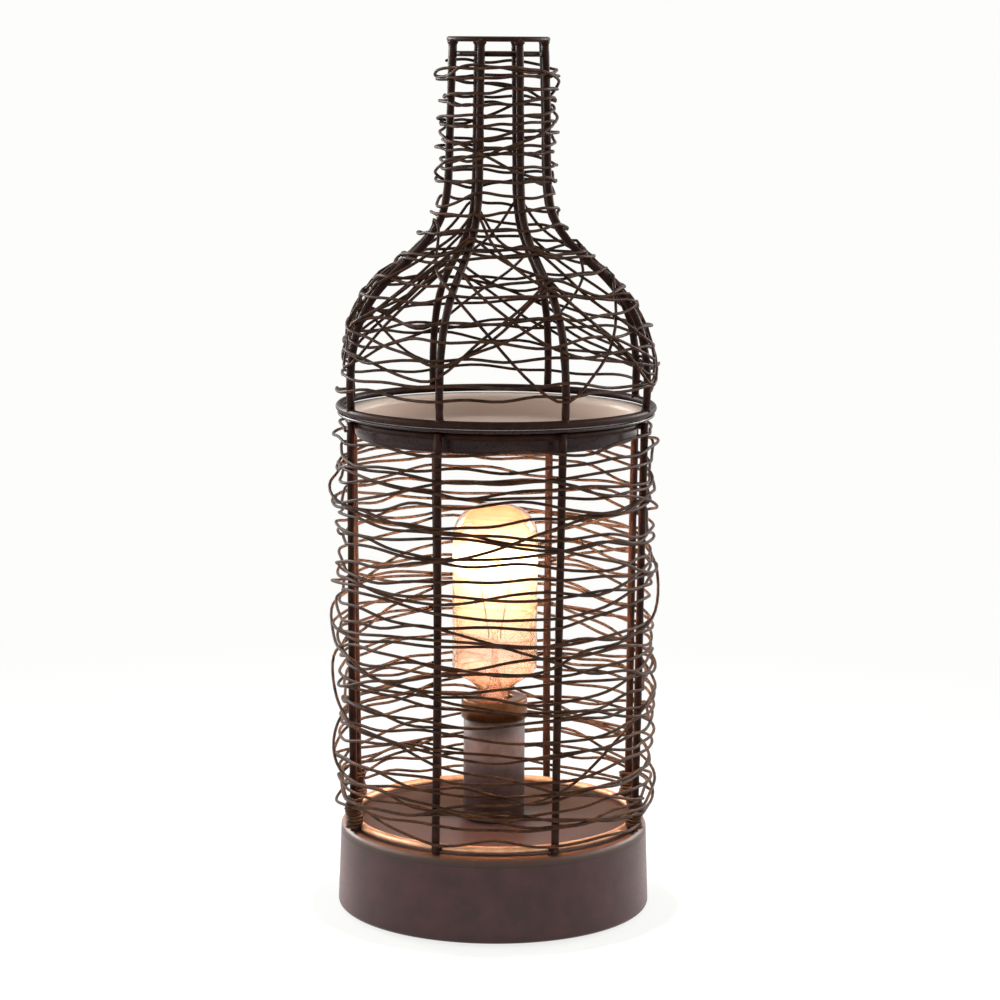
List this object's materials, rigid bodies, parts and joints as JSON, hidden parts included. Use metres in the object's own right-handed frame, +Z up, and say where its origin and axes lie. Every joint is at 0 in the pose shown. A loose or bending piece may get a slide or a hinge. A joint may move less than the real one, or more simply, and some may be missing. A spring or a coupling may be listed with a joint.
{
  "type": "electric wax warmer",
  "caption": "Bottle-shaped wire-cage wax warmer: a lamp on a round base warms a shallow dish, and the wire shoulder and neck lift off above it.",
  "frame": {"origin": "on the ground, under the centre of the base", "axes": "+Z up along the bottle's axis, -Y towards the front, +X to the right"},
  "size_m": [0.126, 0.1251, 0.3368],
  "materials": {
    "bronze_paint": "satin dark bronze",
    "cage_wire": "satin brown-black",
    "dish_enamel": "semi-gloss dark bronze",
    "bottom_plate": "matt black",
    "plated_steel": "zinc plated",
    "copper_brass": "warm brass",
    "black_rubber": "matt",
    "socket_plastic": "moulded",
    "lamp_glass": "clear",
    "lit_filament": "glowing wire"
  },
  "bodies": {
    "base": {"base_shell": "bronze_paint", "base_bottom_plate": "bottom_plate", "plate_screw_1": "plated_steel", "plate_screw_2": "plated_steel", "plate_screw_3": "plated_steel", "foot_1": "black_rubber", "foot_2": "black_rubber", "foot_3": "black_rubber", "cord_grommet": "black_rubber", "cage_bottom_ring": "cage_wire", "cage_top_ring": "cage_wire", "cage_rod_1": "cage_wire", "cage_rod_2": "cage_wire", "cage_rod_3": "cage_wire", "cage_rod_4": "cage_wire", "cage_rod_5": "cage_wire", "cage_rod_6": "cage_wire", "cage_rod_7": "cage_wire", "cage_rod_8": "cage_wire", "cage_winding": "cage_wire", "lamp_nipple": "plated_steel", "nipple_washer": "plated_steel", "nipple_nut_lower": "copper_brass", "nipple_nut_upper": "copper_brass", "socket_strap": "plated_steel", "strap_rivet": "plated_steel", "socket_body": "socket_plastic", "socket_screw_shell": "copper_brass", "centre_contact": "copper_brass", "terminal_screw_left": "copper_brass", "terminal_screw_right": "copper_brass", "holder_sleeve": "bronze_paint", "holder_collar": "copper_brass"},
    "dish": {"wax_dish": "dish_enamel"},
    "lid": {"lid_bottom_ring": "cage_wire", "lid_rod_1": "cage_wire", "lid_rod_2": "cage_wire", "lid_rod_3": "cage_wire", "lid_rod_4": "cage_wire", "lid_rod_5": "cage_wire", "lid_rod_6": "cage_wire", "lid_rod_7": "cage_wire", "lid_rod_8": "cage_wire", "neck_top_ring": "cage_wire", "neck_inner_ring": "cage_wire", "lid_winding": "cage_wire"},
    "lamp": {"lamp_glass": "lamp_glass", "lamp_cap": "copper_brass", "lamp_end_contact": "plated_steel", "lamp_stem": "lamp_glass", "filament_support_left": "plated_steel", "filament_support_right": "plated_steel", "filament": "lit_filament"}
  },
  "joints": [
    {"name": "dish_lift", "type": "slide", "parent": "base", "child": "dish", "axis": [0, 0, 1], "range_m": [0, 0.03]},
    {"name": "lid_lift", "type": "slide", "parent": "dish", "child": "lid", "axis": [0, 0, 1], "range_m": [0, 0.06]},
    {"name": "lamp_out", "type": "slide", "parent": "base", "child": "lamp", "axis": [0, 0, 1], "range_m": [0, 0.024]}
  ]
}
